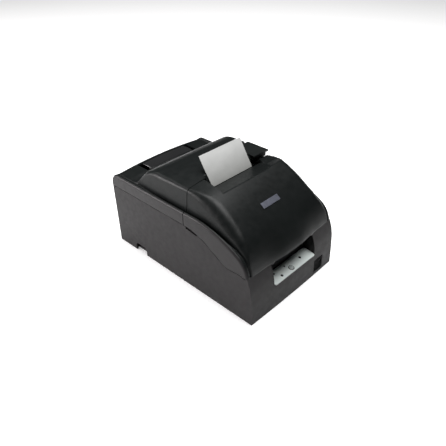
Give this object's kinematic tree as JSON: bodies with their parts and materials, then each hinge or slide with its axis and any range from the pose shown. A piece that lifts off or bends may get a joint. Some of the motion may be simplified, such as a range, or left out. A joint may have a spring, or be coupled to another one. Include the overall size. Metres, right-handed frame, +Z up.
{
  "type": "dot matrix printer",
  "caption": "Compact impact receipt printer: low case with arched two-part lid, paper slip in a cross slot, release lever, front control recess and rocker switch.",
  "frame": {"origin": "middle of the footprint, on the surface that the rubber feet stand on", "axes": "+X to the right seen from the front, +Y to the rear, +Z up"},
  "size_m": [0.16, 0.248, 0.1564],
  "materials": {
    "case": "fine spark-eroded texture, satin",
    "cover": "satin moulded plastic",
    "lever": "satin moulded plastic",
    "window": "smoked clear, polished",
    "plate": "satin, blank",
    "panel": "satin light grey",
    "button": "satin grey",
    "led": "clear lens, unlit",
    "switch": "black, semi-gloss",
    "black_plastic": "black moulded plastic",
    "bin": "dark grey moulded plastic",
    "paper": "uncoated paper",
    "card": "spiral-wound cardboard",
    "steel": "ground steel",
    "sheet_steel": "zinc-plated sheet",
    "motor": "plated can",
    "gear": "natural acetal",
    "brass": "turned",
    "rubber": "matt",
    "ribbon": "inked nylon",
    "board": "green solder mask",
    "components": "black moulded packages",
    "connector": "nickel-plated shell"
  },
  "bodies": {
    "case": {"lower_case": "case", "bottom_plate": "sheet_steel", "rubber_feet": "rubber", "screws": "steel", "hinge_pins": "steel", "control_panel": "panel", "button_spring": "steel", "panel_leds": "led", "power_switch_body": "black_plastic", "roll_bin": "bin", "paper_web": "paper", "left_frame": "sheet_steel", "right_frame": "sheet_steel", "frame_base": "sheet_steel", "carriage_shaft": "steel", "guide_rail": "sheet_steel", "carriage_motor": "motor", "carriage_belt": "rubber", "platen": "rubber", "platen_bracket": "sheet_steel", "idler_stud": "steel", "feed_motor": "motor", "ribbon_cassette": "black_plastic", "ribbon_band": "ribbon", "main_board": "board", "board_parts": "components", "interface_board": "board", "serial_connector": "connector", "power_inlet": "black_plastic", "drawer_jack": "black_plastic", "home_sensor": "black_plastic"},
    "front_cover": {"front_cover": "cover", "front_hinge_barrel": "cover", "blank_nameplate": "plate", "cutter_frame": "sheet_steel"},
    "cutter": {"cutter_blade": "steel"},
    "roll_cover": {"roll_cover": "cover", "rear_hinge_barrel": "cover", "roll_window": "window", "lever_bracket": "cover", "lever_pin": "steel", "tear_bar": "steel", "paper_slip": "paper"},
    "lever": {"cover_lever": "lever"},
    "feed_button": {"feed_button": "button"},
    "power_rocker": {"power_rocker": "switch"},
    "paper_roll": {"paper_roll": "paper", "roll_core": "card"},
    "carriage": {"print_carriage": "black_plastic", "print_head": "motor", "belt_clamp": "black_plastic"},
    "drive_pulley": {"drive_pulley": "brass"},
    "idler_pulley": {"idler_pulley": "brass"},
    "feed_roller": {"feed_roller": "rubber", "feed_roller_gear": "gear"},
    "idler_gear": {"idler_gear": "gear"},
    "motor_pinion": {"motor_pinion": "brass"},
    "pinch_roller": {"pinch_roller": "rubber"},
    "ribbon_knob": {"ribbon_knob": "button"},
    "sensor_lever": {"paper_sensor_lever": "gear"}
  },
  "joints": [
    {"name": "front_cover_hinge", "type": "hinge", "parent": "case", "child": "front_cover", "pos_m": [0, -0.1099, 0.0692], "axis": [1, 0, 0], "range_deg": [0, 88]},
    {"name": "cutter_slide", "type": "slide", "parent": "front_cover", "child": "cutter", "axis": [0, 1, 0], "range_m": [0, 0.007]},
    {"name": "roll_cover_hinge", "type": "hinge", "parent": "case", "child": "roll_cover", "pos_m": [0, 0.1213, 0.0912], "axis": [-1, 0, 0], "range_deg": [0, 85]},
    {"name": "lever_hinge", "type": "hinge", "parent": "roll_cover", "child": "lever", "pos_m": [0.056, 0.014, 0.126], "axis": [-1, 0, 0], "range_deg": [0, 12], "stiffness_Nm_per_rad": 0.05, "springref_deg": -5.73},
    {"name": "feed_button_press", "type": "slide", "parent": "case", "child": "feed_button", "axis": [0, 0.1702, -0.9854], "range_m": [0, 0.0008], "stiffness_N_per_m": 300},
    {"name": "power_rocker_tilt", "type": "hinge", "parent": "case", "child": "power_rocker", "pos_m": [0.05, -0.1186, 0.0133], "axis": [1, 0, 0], "range_deg": [0, 11]},
    {"name": "paper_roll_spin", "type": "hinge", "parent": "case", "child": "paper_roll", "pos_m": [0, 0.05, 0.056], "axis": [1, 0, 0], "continuous": true},
    {"name": "carriage_slide", "type": "slide", "parent": "case", "child": "carriage", "axis": [1, 0, 0], "range_m": [-0.032, 0.032]},
    {"name": "drive_pulley_spin", "type": "hinge", "parent": "case", "child": "drive_pulley", "pos_m": [-0.05, -0.09, 0.049], "axis": [0, 0, 1], "range_deg": [-310, 310]},
    {"name": "idler_pulley_spin", "type": "hinge", "parent": "case", "child": "idler_pulley", "pos_m": [0.05, -0.09, 0.049], "axis": [0, 0, 1], "range_deg": [-310, 310]},
    {"name": "feed_roller_spin", "type": "hinge", "parent": "case", "child": "feed_roller", "pos_m": [0, -0.0376, 0.1], "axis": [1, 0, 0], "continuous": true},
    {"name": "idler_gear_spin", "type": "hinge", "parent": "case", "child": "idler_gear", "pos_m": [0.068, -0.03136, 0.07066], "axis": [1, 0, 0], "continuous": true},
    {"name": "motor_pinion_spin", "type": "hinge", "parent": "case", "child": "motor_pinion", "pos_m": [0.068, -0.02147, 0.04945], "axis": [1, 0, 0], "continuous": true},
    {"name": "pinch_roller_spin", "type": "hinge", "parent": "case", "child": "pinch_roller", "pos_m": [0, -0.028, 0.1], "axis": [1, 0, 0], "continuous": true},
    {"name": "ribbon_knob_spin", "type": "hinge", "parent": "case", "child": "ribbon_knob", "pos_m": [0.044, -0.058, 0.112], "axis": [0, 0, 1], "continuous": true},
    {"name": "sensor_lever_tilt", "type": "hinge", "parent": "case", "child": "sensor_lever", "pos_m": [0.035, -0.02, 0.066], "axis": [1, 0, 0], "range_deg": [-12, 0]}
  ],
  "couplings": [
    {"joint": "drive_pulley_spin", "follows": "carriage_slide", "rad_per_m": -166.67},
    {"joint": "idler_pulley_spin", "follows": "carriage_slide", "rad_per_m": -166.67},
    {"joint": "idler_gear_spin", "follows": "feed_roller_spin", "ratio": -0.66667},
    {"joint": "motor_pinion_spin", "follows": "feed_roller_spin", "ratio": 2.2222},
    {"joint": "pinch_roller_spin", "follows": "feed_roller_spin", "ratio": -1.2564}
  ]
}
